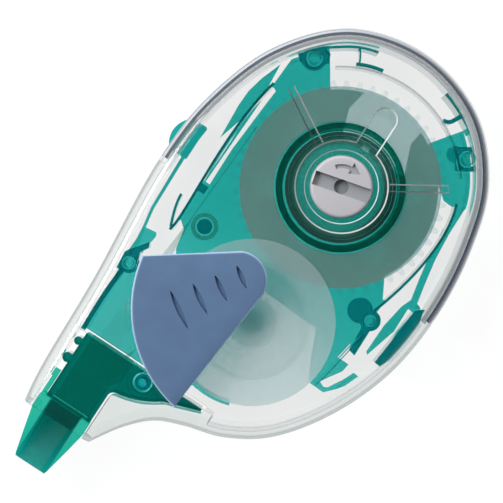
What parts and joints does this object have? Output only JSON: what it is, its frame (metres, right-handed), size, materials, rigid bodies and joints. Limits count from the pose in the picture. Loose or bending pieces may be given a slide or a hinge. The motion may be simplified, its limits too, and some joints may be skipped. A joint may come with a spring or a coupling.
{
  "type": "correction tape roller",
  "caption": "Hand-held correction tape roller: clear case with grip pad, geared supply and take-up reels, twisted tape path, wedge tip and rewind knob.",
  "frame": {"origin": "on the supply reel's axis, on the plane of the rear outer face", "axes": "+X away from the tip towards the round end, +Z out of the front face, along both reel axes"},
  "size_m": [0.0917, 0.053, 0.0146],
  "materials": {
    "clear_plastic": "clear moulded",
    "teal_clear": "tinted translucent",
    "green_clear": "dark translucent",
    "navy_plastic": "satin",
    "pad_rubber": "matte soft touch",
    "knob_plastic": "satin",
    "roll_tape": "coated film",
    "frosted_plastic": "frosted translucent",
    "film": "thin film"
  },
  "bodies": {
    "case": {"rear_cover": "clear_plastic", "front_cover": "clear_plastic", "edge_band": "navy_plastic", "grip_pad": "pad_rubber", "inner_frame": "teal_clear", "head_holder": "green_clear", "head_pin": "clear_plastic", "tip": "teal_clear", "tape_run_out": "film", "tape_run_back": "film"},
    "drive": {"drive_gear": "green_clear"},
    "supply": {"clutch_spring": "knob_plastic", "supply_hub": "teal_clear", "supply_core": "green_clear", "tape_roll": "roll_tape", "rewind_knob": "knob_plastic"},
    "takeup": {"takeup_gear": "teal_clear", "takeup_reel": "frosted_plastic", "takeup_wind": "film"},
    "guide": {"guide_roller": "green_clear"}
  },
  "joints": [
    {"name": "drive_gear_spin", "type": "hinge", "parent": "case", "child": "drive", "pos_m": [0, 0, 0.0037], "axis": [0, 0, 1], "continuous": true},
    {"name": "rewind_slip", "type": "hinge", "parent": "drive", "child": "supply", "pos_m": [0, 0, 0.007], "axis": [0, 0, 1], "continuous": true},
    {"name": "takeup_spin", "type": "hinge", "parent": "case", "child": "takeup", "pos_m": [-0.0263, 0, 0.007], "axis": [0, 0, 1], "continuous": true},
    {"name": "guide_roller_spin", "type": "hinge", "parent": "case", "child": "guide", "pos_m": [-0.0175, 0.015, 0.007], "axis": [0, 0, 1], "continuous": true}
  ],
  "couplings": [
    {"joint": "takeup_spin", "follows": "drive_gear_spin", "ratio": -1.8846}
  ]
}
